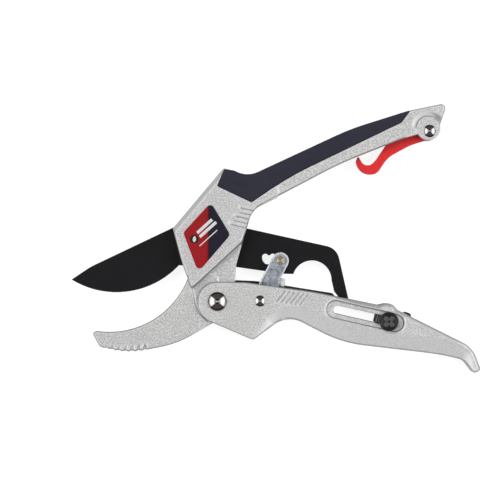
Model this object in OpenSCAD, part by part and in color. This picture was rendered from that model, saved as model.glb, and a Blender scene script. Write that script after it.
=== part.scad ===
// Ratchet pruning shears, lying on their back with the jaws open.
// The blade plane is XY, the thickness is along Z, and the blade points to -X.
// Places are worked out from the main pivot bolt, then shifted to the middle of the tool.

/* [Castings] */
// Half thickness of the head and of the lower handle
cast_half = 9; // [8.6:0.1:9.6]
// Half thickness of the bare metal along the upper handle
arm_half = 8.5; // [8:0.1:8.6]
// Half thickness of the tongue that sits inside the lower handle
tongue_half = 5.2; // [4.8:0.1:5.3]
// Half width of the channel inside the lower handle
channel_half = 5.8; // [5.7:0.1:6]
// Thickness of the lower handle's floor
floor_t = 3; // [2.4:0.1:3.2]
// Width of the bevel along the outer edge of the head
head_bevel = 2.2; // [1:0.1:2.6]
// Front face of the hook jaw
hook_front = 5.6; // [5.3:0.1:5.6]

/* [Blade] */
// Thickness of the blade steel
blade_t = 3; // [2.4:0.1:3]
// Gap between the blade and each casting face
blade_gap = 0.2; // [0.15:0.05:0.3]
// Radius of the curved cutting edge
edge_r = 43; // [42:0.5:43]
// Width of the ground bevel behind the cutting edge
bevel_w = 4.2; // [2:0.1:5]
// Radius of the half-round clearance in the blade's tang
tang_cut_r = 9.75; // [9:0.05:10]

/* [Pivots] */
// Radius of the main bolt
bolt_r = 3; // [2.6:0.1:3.2]
// Radius of the blade bolt
blade_bolt_r = 2.75; // [2.4:0.05:2.8]
// Outer radius of the bush in the blade
bush_r = 4.4; // [4:0.1:5]
// Radius of the rivet that holds the ratchet link in the lower handle
link_rivet_r = 1.75; // [1.5:0.05:2]
// Radius of the link pin that rides in the blade's notches
link_pin_r = 1.3; // [1.1:0.05:1.3]
// Radius of the catch rivet
catch_rivet_r = 1.75; // [1.5:0.05:2]
// Radial running clearance round every pin
run_gap = 0.06; // [0.03:0.01:0.1]

/* [Ratchet] */
// Turn of the blade over the same travel, in degrees
blade_turn = 25; // [24.5:0.1:25]
// Radius of each ratchet notch
notch_r = 1.6; // [1.5:0.05:1.7]
// Thickness of the link's plates
link_t = 1.2; // [1:0.1:1.4]

/* [Selector] */
// Half width of the slot through the lower handle
slot_r = 2.1; // [1.9:0.1:2.3]
// Half width of the shallow track round the slot
track_r = 4.4; // [4.2:0.1:4.6]
// Radius of the selector knob
knob_r = 4.8; // [4.4:0.1:5]

/* [Grip and catch] */
// Half thickness over the soft grip
grip_half = 8.9; // [8.7:0.1:9]
// Half thickness of the metal core under the grip
core_half = 6.3; // [5.8:0.1:6.6]
// Half thickness of the plastic catch
catch_half = 2.5; // [2.2:0.1:2.6]
// Radius of the round cheeks at the end of the upper handle
cheek_r = 6; // [5.5:0.1:6.4]

/* [Hidden] */
$fn = 64;
eps = 0.01;
far = 60;

// Pivot centres, from the main bolt
main_at = [0, 0];
blade_at = [-1.75, 30.5];
link_at = [21.2, 0.2];
pin_at = [31.45, 20.15];
catch_at = [105.5, 84.65];
bar_at = [108.4, -15.5];
notches = [pin_at, [27.65, 22.05], [23.9, 22]];
link_lean = atan2(pin_at[1] - link_at[1], pin_at[0] - link_at[0]);

// Faces along Z
blade_front = 0.4;
blade_back = blade_front - blade_t;
kerf_front = blade_front + blade_gap;
kerf_back = blade_back - blade_gap;
track_floor = cast_half - 1;
link_front = kerf_front + 0.15;
link_back = kerf_back - 0.1;

// The curved cutting edge, open and closed
edge_at = [-50.5, 47.35];
edge_closed = blade_at + spin(edge_at - blade_at, blade_turn);

// Selector track: its left end, its slope and its places along the slope
track_at = [59.75, -4.2];
track_slope = -12.8;
slot_len = 27.4;
knob_s = 26.1;

// Recess that the round lobe of the lower handle turns in
lobe_recess_r = 13.1;

// Shift from the main bolt to the middle of the tool's underside
origin_shift = [-28.875, -31.3, cast_half];

// Outlines are lists of corners, each [x, y, corner radius]
function spin(v, a) = [v[0] * cos(a) - v[1] * sin(a), v[0] * sin(a) + v[1] * cos(a)];
function xy(p) = [p[0], p[1]];
function unit(v) = v / norm(v);
function arc_steps(turn, r) = max(2, ceil(turn / (r > 12 ? 3 : 9)));
function fillet(a, p, b) =
    let (u = unit(xy(a) - xy(p)), v = unit(xy(b) - xy(p)), half = acos(u * v) / 2)
    p[2] <= 0 || half > 89.9 ? [xy(p)] :
    let (centre = xy(p) + unit(u + v) * p[2] / sin(half),
        start = xy(p) + u * p[2] / tan(half) - centre,
        finish = xy(p) + v * p[2] / tan(half) - centre,
        turn = 180 - 2 * half,
        side = start[0] * finish[1] - start[1] * finish[0] > 0 ? 1 : -1,
        n = arc_steps(turn, p[2]))
    [for (i = [0:n]) centre + spin(start, side * turn * i / n)];
function outline(c) = let (n = len(c))
    [for (i = [0:n - 1]) each fillet(c[(i + n - 1) % n], c[i], c[(i + 1) % n])];

module slab(corners, low, high) {
    translate([0, 0, low]) linear_extrude(high - low) polygon(outline(corners));
}

module disc(at, r, low, high) {
    translate([at[0], at[1], low]) cylinder(r = r, h = high - low);
}

module ring(at, r_in, r_out, low, high) {
    difference() {
        disc(at, r_out, low, high);
        disc(at, r_in, low - eps, high + eps);
    }
}

// A round-ended bar of half width r between two points
module bar(from, to, r, low, high) {
    disc(from, r, low, high);
    disc(to, r, low, high);
    translate([from[0], from[1], low])
        rotate(atan2(to[1] - from[1], to[0] - from[0]))
            translate([0, -r, 0]) cube([norm(to - from), 2 * r, high - low]);
}

// A shallow round-headed dome standing on its base
module dome(at, r, base, rise) {
    ball = (r * r + rise * rise) / (2 * rise);
    translate([at[0], at[1], base])
        intersection() {
            translate([0, 0, rise - ball]) sphere(r = ball);
            cylinder(r = r + eps, h = rise + eps);
        }
}

// Round wire swept along a path that never runs straight up
module wire(path, r) {
    sides = 8;
    last = len(path) - 1;
    function ring_at(i) =
        let (t = unit(path[min(i + 1, last)] - path[max(i - 1, 0)]),
            n = unit(cross([0, 0, 1], t)), b = cross(t, n))
        [for (k = [0:sides - 1]) path[i] + r * (cos(360 * k / sides) * n + sin(360 * k / sides) * b)];
    polyhedron(
        points = [for (i = [0:last]) each ring_at(i)],
        faces = [
            [for (k = [0:sides - 1]) k],
            [for (k = [sides - 1:-1:0]) last * sides + k],
            for (i = [0:last - 1], k = [0:sides - 1])
                [i * sides + k, (i + 1) * sides + k,
                    (i + 1) * sides + (k + 1) % sides, i * sides + (k + 1) % sides]]);
}

// A coil with a straight leg off each end. It turns from one angle to the other, either way round
function torsion_spring(at, r, from, to, low, high, leg_in, leg_out) =
    let (way = to > from ? 1 : -1, n = ceil(abs(to - from) / 15),
        coil = [for (i = [0:n]) let (a = from + (to - from) * i / n)
            [at[0] + r * cos(a), at[1] + r * sin(a), low + (high - low) * i / n]],
        into = [-sin(from), cos(from), 0] * way,
        out = [-sin(to), cos(to), 0] * way)
    [coil[0] - into * leg_in, each coil, coil[n] + out * leg_out];

module place() {
    translate(origin_shift) children();
}

// ---- upper handle casting: head, tongue, hook jaw and handle arm ----

head_left = [-22.2, 36.3];
head_peak = [3.6, 67];
head_outline = [
    [head_left[0], head_left[1], 1], [head_peak[0], head_peak[1], 1.8], [9, 62, 0],
    [30, 60, 0], [30, 51.7, 0], [17.3, 45.6, 11], [14.75, 36.5, 20], [12.3, 29.4, 0.6],
    [-12.9, 6.1, 1.2], [-17.9, 19.8, 80]];
tongue_outline = [
    [13, 31, 0], [9.2, 17.5, 30], [8.6, 7, 0], [0, -6, 0], [-12.6, -3, 0], [-12.6, 6, 0],
    [-13, 14, 0], [0, 24, 0]];
hook_outline = [
    [-14.5, 12.3, 0], [-26.3, -19.9, 42], [-60.4, -14.8, 0.6], [-62.4, -15.9, 0.8],
    [-58.7, -22.8, 3], [-44, -26, 40], [-20, -21.2, 50], [-2.25, -10.9, 0],
    [4, -4, 0], [0, 12, 0], [-8, 16, 0]];
arm_outline = [
    [12, 44, 0], [17.3, 45.6, 11], [62, 69, 150], [92, 80.9, 20], [99.5, 82.9, 2],
    [110.4, 86.8, 2.5], [114.6, 98.9, 2.2], [94.6, 94.7, 8], [66, 85.7, 120],
    [14.8, 61.9, 12], [8.6, 65, 1.5], [3.6, 66, 0], [-4, 56, 0]];
grip_outline = [
    [-0.2, 57.3, 0.8], [17, 49.2, 1], [36, 62.1, 150], [91.6, 89, 2], [96.6, 95.9, 0],
    [94.6, 96.8, 0], [66, 87.8, 120], [14.8, 64, 12], [8.6, 67, 1.5], [3.4, 65.6, 0]];
core_outline = [
    [-2.4, 56.8, 0], [17, 46.6, 0], [37, 60.5, 150], [95, 87.5, 0], [97.5, 92.6, 0],
    [67.2, 83.2, 120], [14.8, 59.1, 14], [7.5, 62.6, 1], [2.4, 62.4, 0]];
// Room for the blade to swing through the head
kerf_outline = [
    [-30, 33.9, 0], [-12.5, 42.2, 4], [5.5, 42.2, 20], [40, 50, 0], [40, 12, 0],
    [20, 14, 0], [9.8, 16.2, 0], [0.5, 16.2, 6], [-9.6, 11.2, 0], [-30, 5, 0]];
groove_outline = [
    [30, 40, 0], [30, 56.6, 2], [62, 73.9, 150], [90, 85.3, 0], [90, 60, 0]];
catch_slot_outline = [
    [86, 60, 0], [86, 83.4, 1], [99, 90.4, 4], [108, 90.4, 5], [112, 86, 0], [118, 60, 0]];

module head_bevels() {
    edge = head_peak - head_left;
    for (face = [-1, 1])
        translate([head_left[0], head_left[1], face * cast_half])
            rotate(atan2(edge[1], edge[0]))
                rotate([45, 0, 0])
                    translate([-20, -head_bevel / sqrt(2), -head_bevel / sqrt(2)])
                        cube([norm(edge) + 40, head_bevel * sqrt(2), head_bevel * sqrt(2)]);
}

// Raised ribs beside the throat
module thumb_ribs() {
    for (i = [0:2])
        translate([14.2 - 2.1 * i, 46.2 - 4 * i, cast_half - 0.5])
            rotate(-13) translate([-3.6 - 0.4 * i, -0.8, 0]) cube([7 + 0.8 * i, 1.6, 0.8]);
}

// Short slanted grooves in the back of the hook
module hook_grooves() {
    for (i = [0:5])
        translate([-52.4 + 3.3 * i, -23.2 - 0.3 * i + 0.09 * i * i, hook_front - 0.5])
            rotate(62) translate([-1.6, -0.45, 0]) cube([3.4, 0.9, 2]);
}

module spring_pocket() {
    disc(main_at, 8.2, -tongue_half - eps, -1.4);
    slab([[-5, -4, 0], [-5, -16, 0], [18, -16, 0], [18, 4, 0], [4, 4, 0]],
        -tongue_half - eps, -3.4);
    slab([[-7.4, 0, 0], [-5.2, 0, 0], [-5.2, 10, 0], [-7.4, 10, 0]], -tongue_half - eps, -1.4);
}

module blade_kerf() {
    slab(kerf_outline, kerf_back, kerf_front);
    intersection() {
        disc(edge_closed, edge_r + 0.4, kerf_back, kerf_front);
        slab([[-40, -30, 0], [0, -30, 0], [0, 17, 0], [-30, 30, 0], [-40, 30, 0]],
            kerf_back - 1, kerf_front + 1);
    }
}

module upper_shell() {
    slab(head_outline, -cast_half, cast_half);
    slab(tongue_outline, -tongue_half, tongue_half);
    disc(main_at, 10, -tongue_half, tongue_half);
    slab(hook_outline, kerf_front, hook_front);
    slab(arm_outline, -arm_half, arm_half);
    disc([104.9, 86.1], cheek_r, -cast_half, cast_half);
}

module upper_handle() {
    color([0.74, 0.74, 0.74]) place() difference() {
        union() {
            difference() {
                upper_shell();
                slab(grip_outline, -far, far);
                head_bevels();
            }
            slab(core_outline, -core_half, core_half);
            thumb_ribs();
        }
        blade_kerf();
        // The lobe of the lower handle turns in this recess, with a washer let in under it
        disc(main_at, lobe_recess_r, hook_front, cast_half + eps);
        disc(main_at, 9.2, tongue_half, cast_half);
        disc(main_at, bolt_r + run_gap, -far, far);
        spring_pocket();
        hook_grooves();
        // Blade bolt: clamped through both plates, hex head sunk in the back
        disc(blade_at, blade_bolt_r, -cast_half - eps, cast_half - 0.7);
        disc(blade_at, 5.3, -cast_half - eps, -cast_half + 2.4);
        slab(label_outline, cast_half - 0.5, cast_half + 1);
        slab(groove_outline, -3.2, 3.2);
        slab(catch_slot_outline, -catch_half - 0.5, catch_half + 0.5);
        disc(catch_at, catch_rivet_r + run_gap, -far, far);
        disc(catch_at, 2.8, -cast_half - eps, -cast_half + 1.1);
    }
}

module upper_grip() {
    color([0.12, 0.12, 0.19]) place() difference() {
        intersection() {
            slab(grip_outline, -grip_half, grip_half);
            slab(arm_outline, -cast_half, cast_half);
        }
        slab(core_outline, -core_half, core_half);
    }
}

label_outline = [[-3.2, 49.1, 2], [6.4, 33.1, 2.5], [-9.5, 14.5, 2], [-16.9, 34.1, 2.2]];

module label() {
    color([0.62, 0.08, 0.1]) place() slab(label_outline, cast_half - 0.5, cast_half + 0.3);
}

// ---- blade, its bush and its bolt ----

blade_outline = [
    [-76, 8.66, 0], [-72, -8, 0], [-27, -8, 0], [-19.1, 17.8, 0], [-10, 17.5, 0],
    [9.25, 17, 0], [33, 13.6, 0], [37.4, 13.5, 0.6], [46, 10.5, 0], [57, 10.5, 0],
    [58.3, 4.8, 2], [62.4, -0.3, 0.5], [65.9, -0.8, 0.5], [59.7, 26.4, 8],
    [-11.15, 42, 12], [-63.75, 17, 40]];
notch_slot = [
    [22.32, 22, 0], [22.5, 20.3, 0.8], [24, 18.4, 1.4], [31.45, 18.5, 0], [31.45, 21.7, 0],
    [29.4, 21.9, 0], [28.8, 22.8, 0], [24.6, 22.8, 0]];

// What is ground away outside the curved edge, and under its bevel
module edge_grind() {
    difference() {
        slab([[-90, 22, 0], [-90, -20, 0], [-8, -20, 0], [-18.6, 17.6, 0], [-24, 23.5, 0]],
            blade_back - 1, blade_front + 1);
        translate([edge_at[0], edge_at[1], 0])
            rotate_extrude()
                polygon([[0, blade_back - 2], [edge_r - bevel_w - 1.75, blade_back - 2],
                    [edge_r, blade_front - 0.4], [edge_r, blade_front + 2], [0, blade_front + 2]]);
    }
}

module blade() {
    color([0.07, 0.07, 0.075]) place() difference() {
        slab(blade_outline, blade_back, blade_front);
        disc([47.25, 10.5], tang_cut_r, blade_back - 1, blade_front + 1);
        disc(blade_at, bush_r + run_gap, blade_back - 1, blade_front + 1);
        for (n = notches) disc(n, notch_r, blade_back - 1, blade_front + 1);
        slab(notch_slot, blade_back - 1, blade_front + 1);
        edge_grind();
    }
}

module blade_bush() {
    color([0.7, 0.6, 0.35]) place() ring(blade_at, blade_bolt_r, bush_r, kerf_back, kerf_front);
}

module blade_bolt() {
    color([0.75, 0.76, 0.78]) place() difference() {
        union() {
            disc(blade_at, blade_bolt_r, -cast_half + 2, cast_half - 0.8);
            disc(blade_at, 5.1, -cast_half + 0.15, -cast_half + 2.4);
        }
        translate([blade_at[0], blade_at[1], -cast_half])
            cylinder(r = 2.3, h = 1.8, $fn = 6);
    }
}

// ---- lower handle casting and what is fixed to it ----

lower_outline = [
    [-9.8, 10, 9.8], [14, 9.5, 40], [46, 5.1, 150], [80.2, -1.9, 1], [83.5, -1.1, 3],
    [87.4, -1.5, 2.5], [89.4, -4.1, 1.5], [124.4, -21.6, 10], [127.9, -25.6, 8],
    [131.2, -34.3, 1.6], [127.4, -35.9, 1.6], [122.3, -29.2, 7], [112, -26.6, 120],
    [62, -20.7, 60], [35, -6.8, 13], [17.8, -19.3, 1.8], [-9.8, -7.5, 10]];
channel_outline = [
    [2, -9.3, 0], [2, -16, 0], [-14, -16, 0], [-14, 20, 0], [122, 20, 0], [121.4, -10, 0],
    [118.8, -27.2 + floor_t, 3], [62.9, -20.8 + floor_t, 57], [35.1, -6.2 + floor_t, 16],
    [17.35, -18.85 + floor_t, 1]];
// The rear wall stands a little taller beside the link
rear_lip = [[8.5, 8, 0], [8.5, 10.4, 0.8], [20, 9.9, 40], [57.6, 3.9, 0], [60, 1, 0]];

function track_point(s) = track_at + s * [cos(track_slope), sin(track_slope)];

// Slanted finger grooves near the link
module finger_grooves() {
    for (i = [0:4])
        translate([31.6 + 2.9 * i, 3.1 - 0.55 * i, cast_half - 0.45])
            rotate(52) translate([-3 + 0.25 * i, -0.45, 0]) cube([6 - 0.5 * i, 0.9, 2]);
}

module size_ticks() {
    for (i = [0:3])
        translate([97.5 + 1.9 * i, -14.6 - 0.9 * i, cast_half - 0.3])
            rotate(66) translate([-1.4, -0.35, 0]) cube([2.8, 0.7, 2]);
}

module lower_handle() {
    color([0.74, 0.74, 0.74]) place() difference() {
        union() {
            slab(lower_outline, -cast_half, cast_half);
            slab(rear_lip, -cast_half, -channel_half);
        }
        slab(channel_outline, -channel_half, channel_half);
        disc(main_at, 10.7, -channel_half, channel_half);
        bar(track_point(0), track_point(slot_len), slot_r, -far, far);
        for (low = [-cast_half - 1, track_floor])
            bar(track_point(-1), track_point(slot_len + 1.8), track_r, low, low + 2);
        disc(main_at, bolt_r + 0.02, -far, far);
        translate([0, 0, -cast_half - eps]) cylinder(r = 5.4, h = 2.2, $fn = 6);
        disc(link_at, link_rivet_r, -far, far);
        disc(link_at, 2.7, -cast_half - eps, -cast_half + 1.1);
        disc(bar_at, 1.5, -cast_half - eps, cast_half - 1.6);
        finger_grooves();
        size_ticks();
    }
}

module main_bolt() {
    color([0.8, 0.8, 0.82]) place() {
        difference() {
            union() {
                disc(main_at, bolt_r, -cast_half + 0.2, cast_half + 0.5);
                disc(main_at, 4.75, cast_half, cast_half + 0.6);
                dome(main_at, 4.75, cast_half + 0.6, 2);
            }
            disc(main_at, 1.3, cast_half + 2, cast_half + 4);
        }
    }
}

module main_nut() {
    color([0.7, 0.71, 0.73]) place() difference() {
        translate([0, 0, -cast_half + 0.15]) cylinder(r = 5.25, h = 2, $fn = 6);
        disc(main_at, bolt_r, -cast_half - 1, -cast_half + 4);
    }
}

module pivot_washers() {
    color([0.85, 0.85, 0.8]) place() {
        ring(main_at, bolt_r + run_gap, 8.9, tongue_half, channel_half);
        ring(main_at, bolt_r + run_gap, 8.9, -channel_half, -tongue_half);
    }
}

module handle_spring() {
    color([0.55, 0.56, 0.58]) place()
        wire(torsion_spring(main_at, 6.3, -115, -900, -4.55, -2.1, 18, 9.2), 0.55);
}

module catch_bar() {
    color([0.72, 0.73, 0.75]) place() disc(bar_at, 1.5, -cast_half + 0.15, cast_half - 1.7);
}

module bumper() {
    color([0.08, 0.08, 0.08]) place()
        slab([[92.6, -20, 0.5], [96.4, -20, 0.5], [96.4, -6.2, 1.2], [92.6, -5, 1.2]],
            -channel_half, channel_half);
}

// ---- ratchet link ----

// Places along the link from its rivet, and across it towards the finger
module link_frame() {
    translate([link_at[0], link_at[1], 0]) rotate(link_lean - 90) children();
}

module link_plate(low) {
    bar(link_at, pin_at, 4.2, low, low + link_t);
    link_frame() translate([0, 5, low]) cube([5.3, 10, link_t]);
}

module ratchet_link() {
    color([0.62, 0.65, 0.7]) place() difference() {
        union() {
            link_plate(link_front);
            link_plate(link_back - link_t);
            link_frame() translate([4.1, 5, link_back - link_t])
                cube([1.2, 10, link_front + 2 * link_t - link_back]);
            // Flange along the free edge of the front plate, which the link spring pushes
            link_frame() translate([-4.4, 3, link_front]) cube([0.8, 18, link_t + 1.3]);
        }
        disc(link_at, link_rivet_r + run_gap, -far, far);
        disc(pin_at, link_pin_r, -far, far);
    }
}

module link_pin() {
    color([0.7, 0.62, 0.5]) place() {
        disc(pin_at, link_pin_r, link_back - link_t, link_front + link_t);
        disc(pin_at, 2.2, link_back - link_t - 0.5, link_back - link_t);
        dome(pin_at, 2.2, link_front + link_t, 0.9);
    }
}

module link_rivet() {
    color([0.8, 0.8, 0.82]) place() {
        disc(link_at, link_rivet_r, -cast_half + 0.3, cast_half + 0.2);
        disc(link_at, 2.6, -cast_half + 0.15, -cast_half + 1.1);
        dome(link_at, 2.75, cast_half, 1.2);
    }
}

module link_spacers() {
    color([0.5, 0.5, 0.5]) place() {
        ring(link_at, link_rivet_r + run_gap, 2.6, link_front + link_t + 0.05, channel_half);
        ring(link_at, link_rivet_r + run_gap, 2.6, -channel_half, link_back - link_t - 0.05);
    }
}

module link_spring() {
    color([0.6, 0.61, 0.63]) place()
        wire(torsion_spring(link_at, 3.15, link_lean + 90, 930, 2.8, 4.9, 9, 10), 0.4);
}

// ---- selector ----

// A pin through both walls, with a guide block in each wall's slot
module selector_shuttle() {
    color([0.3, 0.3, 0.32]) place()
        translate([track_at[0], track_at[1], 0]) rotate(track_slope) {
            translate([knob_s, 0, -track_floor + 0.05])
                cylinder(r = 1.6, h = 2 * track_floor - 0.1);
            for (low = [-track_floor + 0.05, channel_half + 0.1])
                translate([19.2, -1.9, low])
                    cube([8.6, 3.8, track_floor - channel_half - 0.15]);
        }
}

module selector_knob() {
    color([0.06, 0.06, 0.065]) place() {
        disc(track_point(knob_s), 4, track_floor, cast_half + 0.2);
        difference() {
            disc(track_point(knob_s), knob_r, cast_half + 0.2, cast_half + 2.8);
            for (turn = [45, 135])
                translate([track_point(knob_s)[0], track_point(knob_s)[1], cast_half + 2.2])
                    rotate(turn) translate([-knob_r, -0.5, 0]) cube([2 * knob_r, 1, 1]);
        }
    }
}

module selector_cap() {
    color([0.06, 0.06, 0.065]) place()
        disc(track_point(knob_s), 4, -cast_half + 0.15, -track_floor);
}

// ---- catch at the end of the upper handle ----

catch_outline = [
    [109.5, 88.5, 4], [100, 88.5, 4], [96.5, 82.3, 3], [84.3, 78.2, 3], [79.2, 70.6, 8],
    [75.2, 66.3, 3.7], [72.2, 69, 2], [70.2, 72.6, 0.5], [69, 69.6, 2], [70.6, 62.5, 7],
    [79.6, 63.4, 5], [85, 71.6, 14], [96.3, 77.8, 30], [102.6, 79.7, 3], [107, 81, 2]];

module catch_lever() {
    color([0.83, 0.1, 0.09]) place() difference() {
        union() {
            slab(catch_outline, -catch_half, catch_half);
            disc(catch_at, 4.3, -catch_half, catch_half);
        }
        disc(catch_at, catch_rivet_r + run_gap, -far, far);
    }
}

module catch_rivet() {
    color([0.8, 0.8, 0.82]) place() {
        disc(catch_at, catch_rivet_r, -cast_half + 0.3, cast_half + 0.2);
        disc(catch_at, 2.7, -cast_half + 0.15, -cast_half + 1.1);
        dome(catch_at, 3.1, cast_half, 1.4);
    }
}

module catch_washers() {
    color([0.7, 0.71, 0.73]) place() {
        ring(catch_at, catch_rivet_r + run_gap, 4.2, catch_half + 0.05, catch_half + 0.5);
        ring(catch_at, catch_rivet_r + run_gap, 4.2, -catch_half - 0.5, -catch_half - 0.05);
    }
}

upper_handle();
upper_grip();
label();
blade();
blade_bush();
blade_bolt();
lower_handle();
main_bolt();
main_nut();
pivot_washers();
handle_spring();
ratchet_link();
link_rivet();
link_spacers();
link_pin();
link_spring();
selector_shuttle();
selector_knob();
selector_cap();
catch_lever();
catch_rivet();
catch_washers();
catch_bar();
bumper();
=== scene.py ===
import math

import bmesh
import bpy
import numpy as np
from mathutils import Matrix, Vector


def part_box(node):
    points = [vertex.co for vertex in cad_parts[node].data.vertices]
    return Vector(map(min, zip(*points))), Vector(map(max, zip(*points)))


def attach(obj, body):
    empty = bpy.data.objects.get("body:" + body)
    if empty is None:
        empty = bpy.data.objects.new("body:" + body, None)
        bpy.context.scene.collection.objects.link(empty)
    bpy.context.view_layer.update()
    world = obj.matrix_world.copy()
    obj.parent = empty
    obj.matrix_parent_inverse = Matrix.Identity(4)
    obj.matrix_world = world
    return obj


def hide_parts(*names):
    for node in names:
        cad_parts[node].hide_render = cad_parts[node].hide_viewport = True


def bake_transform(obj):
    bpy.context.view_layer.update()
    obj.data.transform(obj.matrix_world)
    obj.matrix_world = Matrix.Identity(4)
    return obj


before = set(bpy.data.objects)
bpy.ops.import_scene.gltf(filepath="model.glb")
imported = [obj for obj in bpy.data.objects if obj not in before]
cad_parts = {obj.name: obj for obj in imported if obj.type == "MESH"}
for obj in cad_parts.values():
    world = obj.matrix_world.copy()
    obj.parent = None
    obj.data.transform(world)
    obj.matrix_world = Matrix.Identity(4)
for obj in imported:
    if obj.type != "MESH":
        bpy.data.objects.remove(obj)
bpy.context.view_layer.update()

MM = 0.001
SHIFT = np.array([-28.875, -31.3, 9.0])    # from the main bolt to the row frame
HALF = 9.0                                 # half thickness of the castings
LINK_AT = (21.2, 0.2)                      # the link's rivet, mm from the main bolt
PIN_AT = (31.45, 20.15)                    # the pin at the top of the link
CATCH_AT = (105.5, 84.65)                  # the catch's rivet


def at(x, y, z=0.0):
    """A place given from the main bolt, in mm, as a point of the row frame in metres."""
    return Vector(((x + SHIFT[0]) * MM, (y + SHIFT[1]) * MM, (z + SHIFT[2]) * MM))


# ---------------------------------------------------------------- materials

def new_material(name):
    """A material with only an output and one shader, as (material, node tree, shader)."""
    m = bpy.data.materials.new(name)
    m.use_nodes = True
    m.node_tree.nodes.clear()
    out = m.node_tree.nodes.new("ShaderNodeOutputMaterial")
    shader = m.node_tree.nodes.new("ShaderNodeBsdfPrincipled")
    m.node_tree.links.new(shader.outputs["BSDF"], out.inputs["Surface"])
    return m, m.node_tree, shader


def add_node(tree, kind, **inputs):
    n = tree.nodes.new(kind)
    for key, value in inputs.items():
        n.inputs[key.replace("_", " ")].default_value = value
    return n


def noise(tree, scale, detail=2.0, rough=0.5, stretch=None):
    """Fine noise in object space. The scale counts features per metre.

    stretch is a scale along x, y and z, and then a turn about z.
    """
    coords = tree.nodes.new("ShaderNodeTexCoord")
    n = add_node(tree, "ShaderNodeTexNoise", Scale=scale, Detail=detail, Roughness=rough)
    if stretch is None:
        tree.links.new(coords.outputs["Object"], n.inputs["Vector"])
    else:
        mapping = tree.nodes.new("ShaderNodeMapping")
        mapping.inputs["Scale"].default_value = stretch[:3]
        mapping.inputs["Rotation"].default_value = (0, 0, stretch[3])
        tree.links.new(coords.outputs["Object"], mapping.inputs["Vector"])
        tree.links.new(mapping.outputs["Vector"], n.inputs["Vector"])
    return n.outputs["Fac"]


def ramp(tree, source, stops):
    """A colour for each value of source, from (value, (r, g, b)) stops."""
    r = tree.nodes.new("ShaderNodeValToRGB")
    while len(r.color_ramp.elements) < len(stops):
        r.color_ramp.elements.new(0.5)
    for e, (place, colour) in zip(r.color_ramp.elements, stops):
        e.position = place
        e.color = (*colour, 1)
    tree.links.new(source, r.inputs["Fac"])
    return r.outputs["Color"]


def grey(v):
    return (v, v, v)


def mixed(tree, a, b, factor, mode="MULTIPLY"):
    """Colour a with b mixed in. Each value is a socket or a constant."""
    m = tree.nodes.new("ShaderNodeMixRGB")
    m.blend_type = mode
    for socket, value in (("Color1", a), ("Color2", b), ("Fac", factor)):
        if isinstance(value, bpy.types.NodeSocket):
            tree.links.new(value, m.inputs[socket])
        else:
            m.inputs[socket].default_value = value
    return m.outputs["Color"]


def bump(tree, shader, height, strength, depth):
    """Fine relief on the shader, depth metres high."""
    b = tree.nodes.new("ShaderNodeBump")
    b.inputs["Strength"].default_value = strength
    b.inputs["Distance"].default_value = depth
    tree.links.new(height, b.inputs["Height"])
    tree.links.new(b.outputs["Normal"], shader.inputs["Normal"])


def facing(tree):
    """How squarely the surface faces the front or the back: 1 on the flat faces, 0 on the side walls."""
    coords = tree.nodes.new("ShaderNodeTexCoord")
    split = tree.nodes.new("ShaderNodeSeparateXYZ")
    tree.links.new(coords.outputs["Normal"], split.inputs[0])
    size = tree.nodes.new("ShaderNodeMath")
    size.operation = "ABSOLUTE"
    tree.links.new(split.outputs["Z"], size.inputs[0])
    return size.outputs[0]


def surface(name, dark, light, scale, metallic, rough, bump_depth=0.0, bump_strength=0.5,
            blotch=None, coat=0.0, stretch=None, rim=None):
    """A finish with fine grain between two colours, and between two roughnesses.

    blotch is the scale of large soft spots and how dark they get. The rim stops darken the colour by how
    squarely the surface faces front or back: painted shade on the side walls.
    """
    m, tree, shader = new_material(name)
    grain = noise(tree, scale, 2.0, 0.6, stretch)
    colour = ramp(tree, grain, [(0.35, dark), (0.65, light)])
    if blotch:
        cloud = ramp(tree, noise(tree, blotch[0], 3.0), [(0.3, grey(blotch[1])), (0.7, grey(1.0))])
        colour = mixed(tree, colour, cloud, 1.0)
    # painted shade: the rim stops darken the side walls
    if rim:
        edge = ramp(tree, facing(tree), [(place, grey(value)) for place, value in rim])
        colour = mixed(tree, colour, edge, 1.0)
    tree.links.new(colour, shader.inputs["Base Color"])
    shader.inputs["Metallic"].default_value = metallic
    rough_map = ramp(tree, grain, [(0.3, grey(rough[0])), (0.7, grey(rough[1]))])
    tree.links.new(rough_map, shader.inputs["Roughness"])
    shader.inputs["Coat Weight"].default_value = coat
    shader.inputs["Coat Roughness"].default_value = 0.12
    if bump_depth:
        bump(tree, shader, grain, bump_strength, bump_depth)
    return m


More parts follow.
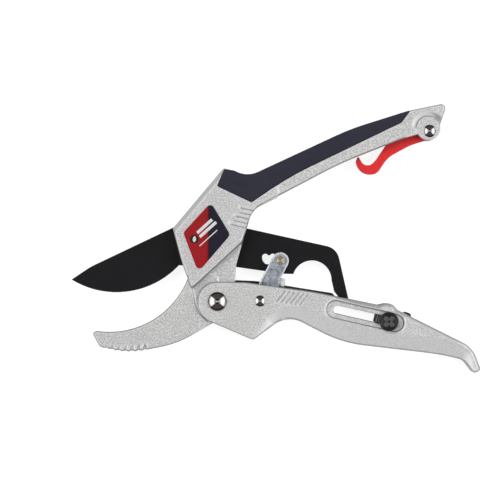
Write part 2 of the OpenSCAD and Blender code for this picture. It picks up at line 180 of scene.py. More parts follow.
def cast_paint():
    """Silver paint over a die casting: sandy on the flat faces and smooth down the side walls, with painted
    shade down the side walls, a painted highlight on the rounded edges and painted shade in the creases.
    """
    m, tree, shader = new_material("silver_paint")
    flat = facing(tree)
    grain = noise(tree, 1500, 3.0, 0.75)
    flake = noise(tree, 2900, 1.0, 0.5)
    sand = ramp(tree, grain, [(0.36, grey(0.44)), (0.50, grey(0.66)), (0.64, grey(0.90))])
    sparkle = ramp(tree, flake, [(0.30, grey(0.82)), (0.5, grey(1.0)), (0.72, grey(1.16))])
    sand = mixed(tree, sand, sparkle, 1.0)
    cloud = ramp(tree, noise(tree, 90, 3.0), [(0.3, grey(0.95)), (0.7, grey(1.0))])
    sand = mixed(tree, sand, cloud, 1.0)
    amount = ramp(tree, flat, [(0.945, grey(0.10)), (0.988, grey(1.0))])
    colour = mixed(tree, (0.67, 0.67, 0.68, 1), sand, amount, "MIX")
    # painted shade down the side walls and a painted highlight on the rounded edges, by how squarely the
    # surface faces front or back
    wall = ramp(tree, flat, [(0.0, grey(0.42)), (0.55, grey(0.42)), (0.80, grey(0.74)), (0.92, grey(1.16)),
                             (0.985, grey(1.0)), (1.0, grey(1.0))])
    colour = mixed(tree, colour, wall, 1.0)
    # painted shade in the creases, darker where the mesh is hollow
    crease = tree.nodes.new("ShaderNodeNewGeometry").outputs["Pointiness"]
    painted_crease_shade = ramp(tree, crease, [(0.42, grey(0.40)), (0.485, grey(1.0))])
    colour = mixed(tree, colour, painted_crease_shade, 1.0)
    tree.links.new(colour, shader.inputs["Base Color"])
    shader.inputs["Metallic"].default_value = 0.4
    tree.links.new(ramp(tree, flake, [(0.3, grey(0.36)), (0.7, grey(0.54))]), shader.inputs["Roughness"])
    bump(tree, shader, grain, 0.3, 0.00010)
    return m


PAINT = cast_paint()
# painted shade on the grip's side walls, from the rim stops
GRIP = surface("soft_grip", (0.014, 0.014, 0.026), (0.021, 0.021, 0.038), 2600, 0.0, (0.55, 0.68),
               0.00006, 0.5, blotch=(60, 0.85), rim=[(0.0, 0.5), (0.6, 0.6), (0.93, 1.0)])
PIN = surface("pin_bronze", (0.30, 0.24, 0.18), (0.62, 0.54, 0.44), 1300, 0.6, (0.28, 0.4), 0.00003, 0.4)
BLACK = surface("black_coating", (0.0045, 0.0045, 0.0055), (0.0085, 0.0085, 0.0105), 1900, 0.0, (0.34, 0.46),
                0.00004, 0.35, blotch=(70, 0.8))
GROUND = surface("ground_steel", grey(0.42), grey(0.62), 900, 1.0, (0.22, 0.34), 0.00002, 0.4,
                 stretch=(1.0, 14.0, 1.0, 0.5))
# painted shade on the side walls, from the rim stops
ZINC = surface("zinc_plate", (0.34, 0.41, 0.49), (0.66, 0.71, 0.76), 480, 0.5, (0.26, 0.44), 0.00003, 0.4,
               blotch=(330, 0.66), rim=[(0.3, 0.5), (0.8, 0.6), (0.95, 1.0)])
# a lighter copy of the zinc plate: painted highlight, with painted shade on its side walls
ZINC_HIGHLIGHT = surface("zinc_painted_highlight", (0.66, 0.70, 0.74), (0.86, 0.88, 0.90), 600, 0.4, (0.22, 0.34),
                      0.00002, 0.3, rim=[(0.3, 0.4), (0.75, 0.6), (0.93, 1.0)])
# painted shade: the rim stops darken the side walls, a dark ring round the domed heads
NICKEL = surface("nickel", grey(0.72), grey(0.82), 800, 1.0, (0.06, 0.12), 0.00001, 0.2,
                 rim=[(0.0, 0.75), (0.5, 0.75), (0.66, 0.10), (0.80, 0.22), (0.87, 1.0)])
WIRE = surface("spring_wire", grey(0.34), grey(0.5), 1500, 1.0, (0.25, 0.4), 0.00002, 0.3)
BRONZE = surface("bronze", (0.42, 0.28, 0.12), (0.55, 0.38, 0.18), 900, 1.0, (0.25, 0.4), 0.00002, 0.3)
BLACK_PLASTIC = surface("black_plastic", grey(0.009), grey(0.016), 1800, 0.0, (0.3, 0.42), 0.00004, 0.4)
DARK_PLASTIC = surface("dark_plastic", grey(0.020), grey(0.034), 1500, 0.0, (0.45, 0.6), 0.00005, 0.5)
# a lighter copy of the black plastic for the raised ribs on the knob and shuttle: painted highlight
LIT_RIB_PLASTIC = surface("rib_plastic_lit", grey(0.10), grey(0.17), 1500, 0.0, (0.4, 0.55), 0.00004, 0.4)
WHITE_PLASTIC = surface("white_plastic", grey(0.62), grey(0.7), 900, 0.0, (0.4, 0.5), 0.00002, 0.3)
RUBBER = surface("bumper_rubber", grey(0.012), grey(0.02), 1400, 0.0, (0.7, 0.85), 0.00006, 0.5)
# painted shade on the catch's side walls, from the rim stops
RED = surface("red_plastic", (0.60, 0.022, 0.024), (0.66, 0.028, 0.030), 900, 0.0, (0.28, 0.36),
              0.00001, 0.2, blotch=(70, 0.93), coat=0.2, rim=[(0.0, 0.40), (0.6, 0.42), (0.92, 1.0)])
PALE = surface("print_pale", grey(0.52), grey(0.62), 1500, 0.0, (0.35, 0.45))
INK = surface("print_ink", grey(0.010), grey(0.016), 1500, 0.0, (0.3, 0.4))


def label_finish():
    """Red on the left and navy on the right, with a soft dark seam between."""
    seam_half = 2.2
    m, tree, shader = new_material("label_print")
    coords = tree.nodes.new("ShaderNodeTexCoord")
    split = tree.nodes.new("ShaderNodeSeparateXYZ")
    tree.links.new(coords.outputs["Object"], split.inputs[0])
    place = tree.nodes.new("ShaderNodeMapRange")
    seam = at(-4.4, 0)[0]
    place.inputs["From Min"].default_value = seam - seam_half * MM
    place.inputs["From Max"].default_value = seam + seam_half * MM
    tree.links.new(split.outputs["X"], place.inputs["Value"])
    colour = ramp(tree, place.outputs["Result"], [
        (0.0, (0.27, 0.008, 0.012)), (0.38, (0.22, 0.007, 0.010)), (0.52, (0.035, 0.005, 0.011)),
        (0.62, (0.010, 0.009, 0.020)), (1.0, (0.012, 0.011, 0.024))])
    fleck = ramp(tree, noise(tree, 1100, 2.0), [(0.3, grey(0.86)), (0.7, grey(1.08))])
    tree.links.new(mixed(tree, colour, fleck, 1.0), shader.inputs["Base Color"])
    shader.inputs["Roughness"].default_value = 0.36
    shader.inputs["Coat Weight"].default_value = 0.2
    return m


# ---------------------------------------------------------------- mesh helpers

def add_piece(name, mesh, body, slot, material, *nodes):
    """A piece that rides a body and replaces the CAD nodes. A piece given no body rides none."""
    o = bpy.data.objects.new(name, mesh)
    bpy.context.scene.collection.objects.link(o)
    mesh.materials.clear()
    mesh.materials.append(material)
    if body is not None:
        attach(o, body)
    if nodes:
        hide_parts(*nodes)
    return o


def applied(o):
    """The object's mesh with its modifiers applied."""
    depsgraph = bpy.context.evaluated_depsgraph_get()
    mesh = bpy.data.meshes.new_from_object(o.evaluated_get(depsgraph), preserve_all_data_layers=True,
                                           depsgraph=depsgraph)
    o.modifiers.clear()
    o.data = mesh
    return mesh


def smooth_faces(mesh):
    mesh.polygons.foreach_set("use_smooth", [True] * len(mesh.polygons))
    mesh.update()


def softened(name, node, voxel, rounds, keep, shape=None):
    """The CAD solid with rounded edges: an even grid of faces over it, relaxed, then thinned.

    voxel is the grid's pitch in mm, keep the share of the faces that stays, and shape a function that
    moves the points, given and returned in mm from the main bolt.
    """
    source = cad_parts[node]
    mesh = source.data.copy()
    mesh.materials.clear()
    b = bmesh.new()
    b.from_mesh(mesh)
    bmesh.ops.remove_doubles(b, verts=b.verts, dist=1e-7)
    b.to_mesh(mesh)
    b.free()
    o = bpy.data.objects.new(name + ".work", mesh)
    bpy.context.scene.collection.objects.link(o)
    grid = o.modifiers.new("grid", "REMESH")
    grid.mode = "VOXEL"
    grid.voxel_size = voxel * MM
    relax = o.modifiers.new("relax", "SMOOTH")
    relax.factor = 0.5
    relax.iterations = rounds
    applied(o)
    if shape:
        co = np.empty(len(o.data.vertices) * 3)
        o.data.vertices.foreach_get("co", co)
        co = co.reshape(-1, 3) / MM - SHIFT
        co = shape(co)
        o.data.vertices.foreach_set("co", ((co + SHIFT) * MM).ravel())
        o.data.update()
    thin = o.modifiers.new("thin", "DECIMATE")
    thin.ratio = keep
    applied(o)
    smooth_faces(o.data)
    even = o.modifiers.new("even", "WEIGHTED_NORMAL")
    even.weight = 50
    applied(o)
    mesh = o.data
    bpy.data.objects.remove(o)
    mesh.name = name
    return mesh


def rounded(corners, step=6):
    """An outline of [x, y, radius] corners as points, one for each step degrees of a round corner."""
    nearly_straight = 1.55
    points = []
    n = len(corners)
    for i in range(n):
        a, p, b = (np.array(corners[k % n][:2], float) for k in (i - 1, i, i + 1))
        r = corners[i][2]
        u, v = (a - p) / np.linalg.norm(a - p), (b - p) / np.linalg.norm(b - p)
        half = math.acos(max(-1, min(1, float(u @ v)))) / 2
        if r <= 0 or half > nearly_straight:
            points.append(p)
            continue
        centre = p + (u + v) / np.linalg.norm(u + v) * r / math.sin(half)
        start = p + u * r / math.tan(half) - centre
        end = p + v * r / math.tan(half) - centre
        turn = math.pi - 2 * half
        side = 1 if start[0] * end[1] - start[1] * end[0] > 0 else -1
        count = max(2, math.ceil(math.degrees(turn) / step))
        for k in range(count + 1):
            c, s = math.cos(side * turn * k / count), math.sin(side * turn * k / count)
            points.append(centre + np.array([start[0] * c - start[1] * s, start[0] * s + start[1] * c]))
    return points


def plate(name, points, low, high, edge=0.0):
    """A flat plate of that outline between two heights, with its upper rim rounded by edge."""
    b = bmesh.new()
    base = [b.verts.new(at(x, y, low)) for x, y in points]
    made = bmesh.ops.extrude_face_region(b, geom=[b.faces.new(base)])
    top = [v for v in made["geom"] if isinstance(v, bmesh.types.BMVert)]
    bmesh.ops.translate(b, verts=top, vec=Vector((0, 0, (high - low) * MM)))
    bmesh.ops.recalc_face_normals(b, faces=b.faces)
    if edge:
        rim = [e for e in b.edges if all(v in top for v in e.verts)]
        bmesh.ops.bevel(b, geom=rim, offset=edge * MM, segments=3, profile=0.6, affect="EDGES",
                        clamp_overlap=True)
    mesh = bpy.data.meshes.new(name)
    b.to_mesh(mesh)
    b.free()
    return mesh


def lathe(name, centre, profile, steps=64):
    """A turned shape: the profile is (radius, z) pairs in mm about a centre [x, y]."""
    b = bmesh.new()
    rings = []
    for r, z in profile:
        if r < 1e-6:
            rings.append([b.verts.new(at(centre[0], centre[1], z))])
        else:
            rings.append([b.verts.new(at(centre[0] + r * math.cos(2 * math.pi * k / steps),
                                         centre[1] + r * math.sin(2 * math.pi * k / steps), z))
                          for k in range(steps)])
    for lower, upper in zip(rings, rings[1:]):
        for k in range(steps):
            m = (k + 1) % steps
            quad = [lower[k % len(lower)], lower[m % len(lower)],
                    upper[m % len(upper)], upper[k % len(upper)]]
            seen = list(dict.fromkeys(quad))
            if len(seen) > 2:
                b.faces.new(seen)
    for ring in (rings[0], rings[-1]):
        if len(ring) > 2:
            b.faces.new(ring)
    bmesh.ops.recalc_face_normals(b, faces=b.faces)
    mesh = bpy.data.meshes.new(name)
    b.to_mesh(mesh)
    b.free()
    smooth_faces(mesh)
    return mesh


def dome_profile(radius, base, rise, rim, dimple, depth):
    """Profile of a domed head from its flat underside: a short rim, the dome and a dimple on top."""
    dome_steps, dimple_steps = 12, 5
    ball = (radius * radius + rise * rise) / (2 * rise)
    points = [(radius - 0.25, base), (radius, base + 0.12), (radius, base + rim)]
    for k in range(1, dome_steps + 1):
        r = radius - (radius - dimple) * k / dome_steps
        points.append((r, base + rim + rise - ball + math.sqrt(max(0.0, ball * ball - r * r))))
    top = points[-1][1]
    for k in range(1, dimple_steps + 1):
        t = k / dimple_steps
        points.append((dimple * (1 - t), top - depth * math.sin(t * math.pi / 2)))
    return points


def wire(name, path, radius):
    """Round wire along a path of mm points, with closed ends."""
    curve = bpy.data.curves.new(name, "CURVE")
    curve.dimensions = "3D"
    curve.bevel_depth = radius * MM
    curve.bevel_resolution = 4
    curve.use_fill_caps = True
    spline = curve.splines.new("POLY")
    spline.points.add(len(path) - 1)
    for p, (x, y, z) in zip(spline.points, path):
        p.co = (*at(x, y, z), 1)
    o = bpy.data.objects.new(name + ".work", curve)
    bpy.context.scene.collection.objects.link(o)
    mesh = bpy.data.meshes.new_from_object(o.evaluated_get(bpy.context.evaluated_depsgraph_get()))
    bpy.data.objects.remove(o)
    smooth_faces(mesh)
    return mesh


def coil(centre, r, start, end, low, high, leg_in, leg_out):
    """A torsion spring's path: a helix from angle start to end, with a straight leg off each end."""
    degrees_a_point = 6
    way = 1 if end > start else -1
    n = math.ceil(abs(end - start) / degrees_a_point)
    turns = [math.radians(start + (end - start) * i / n) for i in range(n + 1)]
    points = [np.array([centre[0] + r * math.cos(a), centre[1] + r * math.sin(a), low + (high - low) * i / n])
              for i, a in enumerate(turns)]
    first = np.array([-math.sin(turns[0]), math.cos(turns[0]), 0]) * way
    last = np.array([-math.sin(turns[-1]), math.cos(turns[-1]), 0]) * way
    return [points[0] - first * leg_in, *points, points[-1] + last * leg_out]


def eased(t):
    """0 up to t = 0, 1 from t = 1, and a smooth climb between."""
    t = np.clip(t, 0, 1)
    return t * t * (3 - 2 * t)


def polyline_distance(co, points):
    """Distance from each vertex to a line of points, seen from above."""
    best = np.full(len(co), 1e9)
    for a, b in zip(points, points[1:]):
        a, b = np.array(a, float), np.array(b, float)
        d = b - a
        t = np.clip(((co[:, :2] - a) @ d) / (d @ d), 0, 1)
        best = np.minimum(best, np.linalg.norm(co[:, :2] - (a + t[:, None] * d), axis=1))
    return best


# ---------------------------------------------------------------- castings

CHEEK = np.array([104.9, 86.1])            # middle of the round cheek over the catch
TRACK = np.array([59.75, -4.2])            # left end of the selector's track
SLOPE = math.radians(-12.8)
TRACK_DIR = np.array([math.cos(SLOPE), math.sin(SLOPE)])
KNOB = TRACK + 26.1 * TRACK_DIR


def ridge_line(d, width):
    """A bump that is 1 on a line and falls to 0 at that distance from it."""
    return eased(1 - d / width)


# Parts of the castings' outlines that get a bevel, as [x, y, radius] corners
HEAD_EDGE = rounded([[3.6, 67, 0], [-22.2, 36.3, 1], [-17.9, 19.8, 80], [-12.9, 6.1, 1.2],
                     [12.3, 29.4, 0.6], [14.75, 36.5, 20], [17.3, 45.6, 11], [62, 69, 150],
                     [92, 80.9, 20], [99.5, 82.9, 0]])[1:-1]
ARM_END = rounded([[94.6, 94.7, 0], [114.6, 98.9, 2.2], [110.4, 86.8, 0]])
HOOK_EDGE = rounded([[-14.5, 12.3, 0], [-26.3, -19.9, 42], [-60.4, -14.8, 0.6], [-62.4, -15.9, 0.8],
                     [-58.7, -22.8, 3], [-44, -26, 40], [-20, -21.2, 50], [-2.25, -10.9, 0]])[1:-1]
# The round end of the lower handle, just outside it, on the hook's face
LOBE_LINE = [(-16.8, 20.5), (-13.6, 10), (-11.9, 3.5), (-11.0, -1.5), (-8.8, -6.4), (-4.6, -10.2)]
RIBS_AT = np.array([15.3, 46.6])           # the uppermost of the thumb ribs
RIBS_TURN = math.radians(-13)
RIB_PITCH = 2.3
RIB_HEIGHT = 0.85
RIM = 0.75                                 # width of the bevels along the castings' outlines
BEVEL = 0.9                                # their drop for each mm of width


def bevel_off(co, out, line, low):
    """Bevels both faces along an outline, wherever they lie further out than low."""
    cut = np.clip(RIM - polyline_distance(co, line), 0, RIM) * BEVEL
    out[:, 2] -= np.sign(co[:, 2]) * cut * eased((np.abs(co[:, 2]) - low) / 0.8)


def thumb_ribs(co):
    """Where the five fine ribs beside the throat lie, and how high they stand."""
    u = np.array([math.cos(RIBS_TURN), math.sin(RIBS_TURN)])
    v = np.array([u[1], -u[0]])
    rel = co[:, :2] - RIBS_AT
    down = rel @ v
    side = rel @ u + 0.3 * down
    inside = eased((4.0 - np.abs(side)) / 0.7) * eased((down + 1.1) / 0.5) * eased((10.2 - down) / 0.5)
    climb = np.mod(down / RIB_PITCH + 0.5, 1.0)
    return inside, inside * RIB_HEIGHT * np.minimum(climb / 0.76, (1 - climb) / 0.24)


def upper_shape(co):
    """Details of the upper casting: its bevels, thumb ribs, notches, and steps round the lobe and cheek."""
    out = co.copy()
    # the step round the cheek, deepest on its right
    d = co[:, :2] - CHEEK
    r = np.linalg.norm(d, axis=1)
    turn = np.degrees(np.arctan2(d[:, 1], d[:, 0]))
    fade = eased((turn + 25) / 20) * eased((195 - turn) / 40)
    depth = 1.1 + 0.9 * eased((95 - turn) / 50)
    groove = eased((r - 5.85) / 0.25) * np.clip((8.6 - r) / 2.5, 0, 1) * fade * depth
    faces = eased((np.abs(co[:, 2]) - 6.5) / 1.5)
    out[:, 2] -= np.sign(co[:, 2]) * groove * faces
    # the bevels, on both faces of the arm and only on the front of the hook
    bevel_off(co, out, HEAD_EDGE, 7.2)
    bevel_off(co, out, ARM_END, 7.2)
    hook = co[:, 0] < -8
    cut = np.clip(RIM - polyline_distance(co, HOOK_EDGE), 0, RIM) * hook
    out[:, 2] -= BEVEL * cut * eased((co[:, 2] - 4.2) / 0.8)
    # the thumb ribs
    inside, ribs = thumb_ribs(co)
    top = co[:, 2] > 8.2
    out[:, 2] = np.where(top, np.minimum(out[:, 2], HALF + (1 - inside) * 0.3) + ribs, out[:, 2])
    # the line round the lower handle's lobe, on the hook's thinner face
    thin_face = eased((co[:, 2] - 4.6) / 0.6) * eased((7.0 - co[:, 2]) / 0.6)
    out[:, 2] -= 0.5 * thin_face * ridge_line(polyline_distance(co, LOBE_LINE), 0.55)
    # the notches along the hook's outer edge
    outer = [(-56.5, -24.3), (-50, -25.6), (-44, -25.4), (-36, -23.9)]
    notch_pitch = 3.3
    notch = ridge_line(polyline_distance(co, outer), 3.6)
    notch *= np.cos(math.pi * (co[:, 0] + 36) / notch_pitch) ** 2
    notch *= eased((co[:, 0] + 57) / 2) * eased((-34.5 - co[:, 0]) / 1.5)
    out[:, 2] -= 0.75 * notch * eased((co[:, 2] - 2.5) / 1.5)
    out[:, 1] += 0.45 * notch
    return out


# The lower handle's palm edge, and its other edge from the track to the tail
LOWER_RIM = [(-9.8, -7.5), (0, -11.5), (17.8, -19.3), (22, -16.5), (27.5, -11.3), (33, -8.6), (38, -8.6),
             (45, -12.0), (54, -16.8), (62, -20.2), (72, -22.0), (90, -23.9), (112, -26.6), (119, -28.2),
             (122.5, -30.2), (125, -33.8), (127.4, -35.9)]
UPPER_RIM = [(58, 2.7), (70, 0.2), (80.2, -1.9), (83.5, -1.1), (87.0, -1.7), (89.4, -4.1), (106, -12.4),
             (122.5, -20.7), (126.8, -24.3), (128.5, -27.5), (131.4, -34.6)]
# Its whole outline
LOWER_EDGE = rounded([[-9.8, 10, 9.8], [14, 9.5, 40], [46, 5.1, 150], [80.2, -1.9, 1], [83.5, -1.1, 3],
                      [87.4, -1.5, 2.5], [89.4, -4.1, 1.5], [124.4, -21.6, 10], [127.9, -25.6, 8],
                      [131.2, -34.3, 1.6], [127.4, -35.9, 1.6], [122.3, -29.2, 7], [112, -26.6, 120],
                      [62, -20.7, 60], [35, -6.8, 13], [17.8, -19.3, 1.8], [-9.8, -7.5, 10]])
LOWER_EDGE.append(LOWER_EDGE[0])


def lower_shape(co):
    """Details of the lower casting: its palm slope, bevels, finger lines and the bead round the track."""
    out = co.copy()
    # the CAD's finger grooves are filled, for the finer lines below
    lined = (co[:, 0] > 28) & (co[:, 0] < 48) & (co[:, 1] > -2) & (co[:, 2] > 8.2)
    out[:, 2] = np.where(lined, HALF, out[:, 2])
    # both faces slope in towards the palm
    along = eased((co[:, 0] - 18) / 14)
    width = 5.0 + 3.0 * eased((co[:, 0] - 30) / 25)
    drop = np.clip(1 - polyline_distance(co, LOWER_RIM) / width, 0, 1)
    out[:, 2] *= 1 - 0.26 * along * drop * eased((130 - co[:, 0]) / 8)
    # the bevels, wider along the upper rim from the track to the tail
    bevel_off(co, out, LOWER_EDGE, 6.2)
    wide = 1.8
    rim = np.clip(wide - polyline_distance(co, UPPER_RIM), 0, wide) * eased((co[:, 0] - 58) / 10)
    out[:, 2] -= np.sign(co[:, 2]) * 0.6 * rim * eased((np.abs(co[:, 2]) - 6.4) / 1.0)
    # six slanted finger lines
    face = eased((co[:, 2] - 8.3) / 0.5)
    slant = math.radians(52)
    stroke = np.array([math.cos(slant), math.sin(slant)])
    for i in range(6):
        middle = np.array([31.6 + 2.3 * i, 2.4 - 0.3 * i])
        line = [middle - stroke * 3.5, middle + stroke * 3.2]
        out[:, 2] -= 0.55 * face * ridge_line(polyline_distance(co, line), 0.7)
    # the bead round the track
    rel = co[:, :2] - TRACK
    s = np.clip(rel @ TRACK_DIR, -1, 29.2)
    r = np.linalg.norm(rel - s[:, None] * TRACK_DIR, axis=1)
    out[:, 2] += 0.28 * ridge_line(np.abs(r - 5.0), 0.7) * face
    return out


add_piece("upper_casting", softened("upper_casting", "upper_handle", 0.32, 5, 0.30, upper_shape),
          "upper_body", "silver_casting", PAINT, "upper_handle")
lower = add_piece("lower_casting", softened("lower_casting", "lower_handle", 0.30, 5, 0.30, lower_shape),
                  "lower_handle", "silver_casting", PAINT, "lower_handle")
lower.data.materials.append(BLACK_PLASTIC)
for f in lower.data.polygons:
    # painted shade: the floor of the channel gets the black plastic, dark as the deep shade in it
    height = f.center.z / MM - SHIFT[2]
    if -6.4 < height < -5.0 and f.normal.z > 0.5:
        f.material_index = 1


# ---------------------------------------------------------------- grip and catch

def grip_shape(co):
    """Crowns the soft grip: it thins a little away from its middle line."""
    out = co.copy()
    middle = [(2, 61), (16, 56.5), (37, 66.5), (66, 80.2), (95, 92.2)]
    out[:, 2] *= 1 - 0.05 * eased((polyline_distance(co, middle) - 1) / 5)
    return out


add_piece("soft_grip", softened("soft_grip", "upper_grip", 0.36, 4, 0.5, grip_shape),
          "upper_body", "soft_grip", GRIP, "upper_grip")
add_piece("catch_hook", softened("catch_hook", "catch_lever", 0.2, 8, 0.6),
          "catch", "red_plastic", RED, "catch_lever")


# ---------------------------------------------------------------- blade and link

blade = add_piece("blade_plate", softened("blade_plate", "blade", 0.24, 2, 0.45),
                  "blade", "black_steel", BLACK, "blade")
blade.data.materials.append(GROUND)
edge_centre = at(-50.5, 47.35)
for f in blade.data.polygons:
    # the ground bevel, on the back of the curved edge
    c = f.center
    reach = math.hypot(c.x - edge_centre.x, c.y - edge_centre.y) / MM
    if reach > 37.4 and c.x < at(-18.5, 0).x and -0.97 < f.normal.z < -0.1 and c.y < at(0, 24).y:
        f.material_index = 1

link = add_piece("link_plates", softened("link_plates", "ratchet_link", 0.16, 3, 0.6),
                 "link", "zinc_steel", ZINC, "ratchet_link")
LINK_AXIS = np.array(PIN_AT) - LINK_AT
LINK_LONG = float(np.linalg.norm(LINK_AXIS))
LINK_AXIS = LINK_AXIS / LINK_LONG
link.data.materials.append(ZINC_HIGHLIGHT)
for f in link.data.polygons:
    # painted highlight: the left flange, the rim of the round end and the right side get the lighter zinc
    place = np.array(f.center) / MM - SHIFT
    rel = place[:2] - LINK_AT
    along = float(rel @ LINK_AXIS)
    across = float(rel[0] * LINK_AXIS[1] - rel[1] * LINK_AXIS[0])
    round_end = along > LINK_LONG and math.hypot(along - LINK_LONG, across) > 3.3
    if place[2] > 1.0 and (across < -3.45 or round_end or (along > 12 and across > 3.5)):
        f.material_index = 1


def link_tab():
    """The small lug rolled up at the link's side, just above the lower handle."""
    corners = [[31.3, 7.2, 0.5], [33.5, 7.2, 0.5], [33.9, 11.2, 0.5], [31.7, 11.2, 0.5]]
    return plate("link_tab", rounded(corners, 15), 1.7, 3.6, 0.8)


# the lug is all in the lighter zinc: painted highlight
add_piece("link_tab", link_tab(), "link", "zinc_steel", ZINC_HIGHLIGHT)


# ---------------------------------------------------------------- pins, rivets and springs

SEAT = HALF + 0.02                         # the heads sit just proud of the castings


def rivet_shank(back_radius):
    """Profile of a rivet from its flat back head up to its seat."""
    shank = 1.72
    return [(back_radius - 0.1, -8.8), (back_radius, -8.7), (back_radius, -7.95),
            (shank, -7.9), (shank, HALF)]


def add_turned(name, centre, profile, body, material, node):
    """A turned steel piece in place of a CAD node."""
    add_piece(name, lathe(name, centre, profile), body, "bright_steel", material, node)


bolt_shank = [(2.94, -8.6), (2.94, SEAT)]
add_turned("main_bolt_head", (0, 0), bolt_shank + dome_profile(4.75, SEAT, 1.9, 0.6, 1.35, 0.9),
           "lower_handle", NICKEL, "main_bolt")
add_turned("link_rivet_head", LINK_AT, rivet_shank(2.6) + dome_profile(2.75, SEAT, 1.05, 0.12, 0.8, 0.55),
           "lower_handle", NICKEL, "link_rivet")
add_turned("catch_rivet_head", CATCH_AT, rivet_shank(2.7) + dome_profile(3.1, SEAT, 1.25, 0.12, 0.9, 0.6),
           "upper_body", NICKEL, "catch_rivet")

link_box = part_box("link_pin")
pin_top = link_box[1][2] / MM - SHIFT[2]
pin_base = link_box[0][2] / MM - SHIFT[2]
pin_shank = [(2.05, pin_base), (2.2, pin_base + 0.12), (2.2, pin_base + 0.45), (1.28, pin_base + 0.5),
             (1.28, pin_top - 1.0)]
add_turned("link_pin_head", PIN_AT, pin_shank + dome_profile(2.2, pin_top - 0.95, 0.8, 0.1, 0.7, 0.5),
           "link", PIN, "link_pin")

# the handle spring winds up; its lower leg goes to the lower handle and its upper leg to the upper one, and
# it rides no body
handle_path = coil((0, 0), 6.3, -115, -900, -4.55, -2.1, 18, 9.2)
handle_coil = add_piece("handle_coil", wire("handle_coil", handle_path, 0.55),
                        None, "spring_steel", WIRE, "handle_spring")
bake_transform(handle_coil)
link_lean = math.degrees(math.atan2(PIN_AT[1] - LINK_AT[1], PIN_AT[0] - LINK_AT[0]))
link_path = coil(LINK_AT, 3.15, link_lean + 90, 930, 2.8, 4.9, 9, 10)
add_piece("link_coil", wire("link_coil", link_path, 0.4), "lower_handle", "spring_steel", WIRE, "link_spring")


# ---------------------------------------------------------------- selector knob

def knob_mesh():
    """A round thumb button with a raised rim and a sunk face."""
    base, top = HALF + 0.22, HALF + 2.78
    profile = [(3.9, HALF - 0.9), (3.95, base - 0.1), (4.6, base), (4.78, base + 0.2), (4.78, top - 0.55),
               (4.6, top - 0.15), (4.3, top), (3.9, top - 0.05), (3.6, top - 0.55), (3.3, top - 0.7),
               (0, top - 0.7)]
    return lathe("knob_body", KNOB, profile, 72)


def knob_ridge(name, turn, side, offset):
    """One of the fine ridges that make the cross on the knob, beside or on an arm's middle line."""
    a = math.radians(turn)
    u, v = np.array([math.cos(a), math.sin(a)]), np.array([-math.sin(a), math.cos(a)])
    start = KNOB + side * u * 0.55 + v * offset
    end = KNOB + side * u * (3.35 - abs(offset) * 0.4) + v * offset
    half = v * 0.2
    outline = rounded([[*p, 0.08] for p in (start - half, end - half, end + half, start + half)], 30)
    # the ridge gets the lighter plastic: painted highlight
    add_piece(name, plate(name, outline, HALF + 1.95, HALF + 2.55, 0.1),
              "selector", "black_plastic", LIT_RIB_PLASTIC)


add_piece("knob_body", knob_mesh(), "selector", "black_plastic", BLACK_PLASTIC, "selector_knob")
for i, turn in enumerate((45, 135)):
    for k, side in enumerate((-1, 1)):
        for j, offset in enumerate((-0.75, 0.0, 0.75)):
            knob_ridge(f"knob_ridge_{i}{k}{j}", turn, side, offset)


def along_track(s, across=0.0):
    """A place on the selector's track: along it from its left end, and across it."""
    return TRACK + s * TRACK_DIR + across * np.array([-TRACK_DIR[1], TRACK_DIR[0]])


def track_bar(name, s0, s1, half, low, high, edge, material):
    """A bar on the track from s0 to s1 along it, part of the shuttle."""
    corners = [along_track(s, c) for s, c in ((s0, -half), (s1, -half), (s1, half), (s0, half))]
    outline = rounded([[*c, 0.25] for c in corners], 30)
    add_piece(name, plate(name, outline, low, high, edge), "selector", "dark_plastic", material)


track_bar("shuttle_block", 19.3, 24.6, 1.85, HALF - 0.9, HALF + 0.15, 0.15, DARK_PLASTIC)
# the shuttle's ribs get the lighter plastic: painted highlight
for i in range(4):
    rib_at = 19.7 + 1.1 * i
    track_bar(f"shuttle_rib_{i}", rib_at, rib_at + 0.55, 1.7, HALF + 0.05, HALF + 0.75, 0.12, LIT_RIB_PLASTIC)


# ---------------------------------------------------------------- label

LABEL = [[-3.2, 49.1, 2], [6.4, 33.1, 2.5], [-9.5, 14.5, 2], [-16.9, 34.1, 2.2]]
TOP = HALF + 0.3
add_piece("label_plate", plate("label_plate", rounded(LABEL), HALF - 0.45, TOP, 0.12),
          "upper_body", "label", label_finish(), "label")
PRINT = math.radians(42)


def label_point(along, across):
    """A place on the label's slanted print, from its middle."""
    c, s = math.cos(PRINT), math.sin(PRINT)
    return (-5.6 + along * c - across * s, 33.6 + along * s + across * c)


def print_bar(name, a0, a1, b0, b1):
    """A plain bar where the label has print, from a0 to a1 along it and b0 to b1 across."""
    corners = [[*label_point(a, b), 0.2] for a, b in ((a0, b0), (a1, b0), (a1, b1), (a0, b1))]
    add_piece(name, plate(name, rounded(corners, 30), TOP - 0.02, TOP + 0.035), "upper_body", "label", PALE)


def leaf_points(centre, size, turn):
    """Outline of a plain leaf, pointed at both ends."""
    steps = 24
    points = []
    for k in range(steps):
        t = k / steps
        side = 1 if t < 0.5 else -1
        s = 2 * t if t < 0.5 else 2 - 2 * t
        x, y = size * (2 * s - 1), side * size * 0.52 * math.sin(math.pi * s) ** 0.8
        points.append((centre[0] + x * math.cos(turn) - y * math.sin(turn),
                       centre[1] + x * math.sin(turn) + y * math.cos(turn)))
    return points


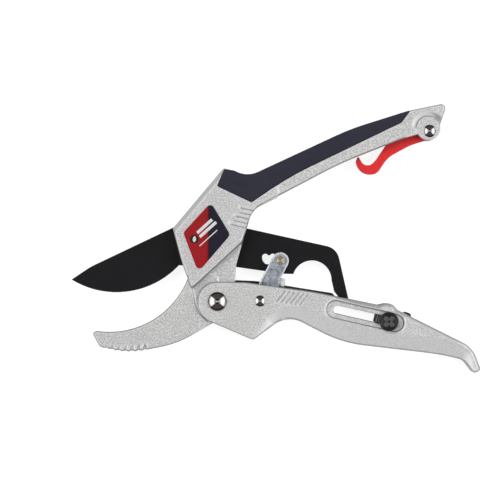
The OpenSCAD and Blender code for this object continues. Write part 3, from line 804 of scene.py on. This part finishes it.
badge = label_point(-6.1, 1.9)
badge_radius = 2.1
ring_points = [(badge[0] + badge_radius * math.cos(math.radians(a)),
                badge[1] + badge_radius * math.sin(math.radians(a))) for a in range(0, 360, 12)]
add_piece("label_badge", plate("label_badge", ring_points, TOP - 0.02, TOP + 0.03),
          "upper_body", "label", INK)
add_piece("label_leaf", plate("label_leaf", leaf_points(badge, 1.6, PRINT + 0.75), TOP, TOP + 0.06),
          "upper_body", "label", PALE)
print_bar("label_bar_0", -3.0, 7.0, 2.5, 4.0)
print_bar("label_bar_1", -3.4, 7.6, 0.2, 1.7)
print_bar("label_bar_2", -6.6, 5.4, -2.6, -2.1)


# ---------------------------------------------------------------- pieces that keep their CAD shape

KEPT = {"blade_bush": BRONZE, "blade_bolt": NICKEL, "main_nut": NICKEL, "pivot_washers": WHITE_PLASTIC,
        "link_spacers": DARK_PLASTIC, "selector_shuttle": DARK_PLASTIC, "selector_cap": BLACK_PLASTIC,
        "catch_washers": ZINC, "catch_bar": NICKEL, "bumper": RUBBER}
for node, material in KEPT.items():
    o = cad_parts[node]
    for slot in o.material_slots:
        slot.material = material
    if not o.material_slots:
        o.data.materials.append(material)


# ---------------------------------------------------------------- floor, lights and camera

def floor_material():
    """A plain white floor that glows, so that the tool's shadow on it stays faint."""
    m, tree, shader = new_material("floor_white")
    cloud = ramp(tree, noise(tree, 4, 2.0), [(0.3, grey(0.29)), (0.7, grey(0.31))])
    tree.links.new(cloud, shader.inputs["Base Color"])
    shader.inputs["Roughness"].default_value = 0.95
    shader.inputs["Specular IOR Level"].default_value = 0.1
    shader.inputs["Emission Color"].default_value = (1, 1, 1, 1)
    shader.inputs["Emission Strength"].default_value = 0.84
    return m


bpy.ops.mesh.primitive_plane_add(size=4, location=(0, 0, -0.0002))
floor = bpy.context.object
floor.name = "floor"
floor.data.materials.append(floor_material())


def studio_world():
    """A pale backdrop. What the tool mirrors is a dark room with a bright wall on the left and right."""
    world = bpy.data.worlds.new("studio")
    bpy.context.scene.world = world
    world.use_nodes = True
    sky = world.node_tree

    def maths(operation, *values):
        """The result of a maths node on sockets or constants."""
        n = sky.nodes.new("ShaderNodeMath")
        n.operation = operation
        for socket, value in zip(n.inputs, values):
            if isinstance(value, bpy.types.NodeSocket):
                sky.links.new(value, socket)
            else:
                socket.default_value = value
        return n.outputs[0]

    around = sky.nodes.new("ShaderNodeTexCoord")
    parts = sky.nodes.new("ShaderNodeSeparateXYZ")
    sky.links.new(around.outputs["Generated"], parts.inputs[0])
    sideways = ramp(sky, maths("ABSOLUTE", parts.outputs["X"]),
                    [(0.36, grey(0.0)), (0.46, grey(1.0)), (0.93, grey(1.0)), (0.98, grey(0.15))])
    steep = maths("DIVIDE", maths("ABSOLUTE", parts.outputs["Y"]), maths("ABSOLUTE", parts.outputs["X"]))
    level = ramp(sky, steep, [(0.72, grey(1.0)), (0.88, grey(0.0))])
    wall = maths("MULTIPLY", sideways, level)
    walls = ramp(sky, wall, [(0.0, (0.062, 0.052, 0.048)), (1.0, grey(1.0))])
    seen = sky.nodes.new("ShaderNodeLightPath").outputs["Is Camera Ray"]
    colour = mixed(sky, walls, (0.72, 0.73, 0.74, 1), seen, "MIX")
    sky.links.new(colour, sky.nodes["Background"].inputs["Color"])
    sky.nodes["Background"].inputs["Strength"].default_value = 1.3


studio_world()


def softbox(name, place, width, height, power):
    """A lamp over the tool that lights it evenly and isn't mirrored in the bright steel."""
    data = bpy.data.lights.new(name, "AREA")
    data.shape = "RECTANGLE"
    data.size, data.size_y = width, height
    data.energy = power
    o = bpy.data.objects.new(name, data)
    bpy.context.scene.collection.objects.link(o)
    o.location = place
    o.rotation_euler = (-Vector(place)).to_track_quat("-Z", "Y").to_euler()
    o.visible_glossy = False


softbox("key", (-0.35, 0.5, 1.1), 0.6, 0.6, 9.0)
softbox("fill", (0.55, -0.1, 1.0), 0.7, 0.7, 4.5)

SENSOR = 36
DISTANCE = 1.4                             # metres from the tool's middle plane
VIEW_WIDTH = 0.242                         # metres that the photo spans there
VIEW_MIDDLE = (12.25, 29.5)                # mm from the main bolt
camera = bpy.data.cameras.new("camera")
camera.sensor_width = SENSOR
camera.lens = SENSOR * DISTANCE / VIEW_WIDTH
camera.clip_end = 10
eye = bpy.data.objects.new("camera", camera)
bpy.context.scene.collection.objects.link(eye)
eye.location = at(*VIEW_MIDDLE, DISTANCE / MM)
bpy.context.scene.camera = eye
bpy.context.scene.view_settings.view_transform = "Standard"
bpy.context.scene.view_settings.look = "None"
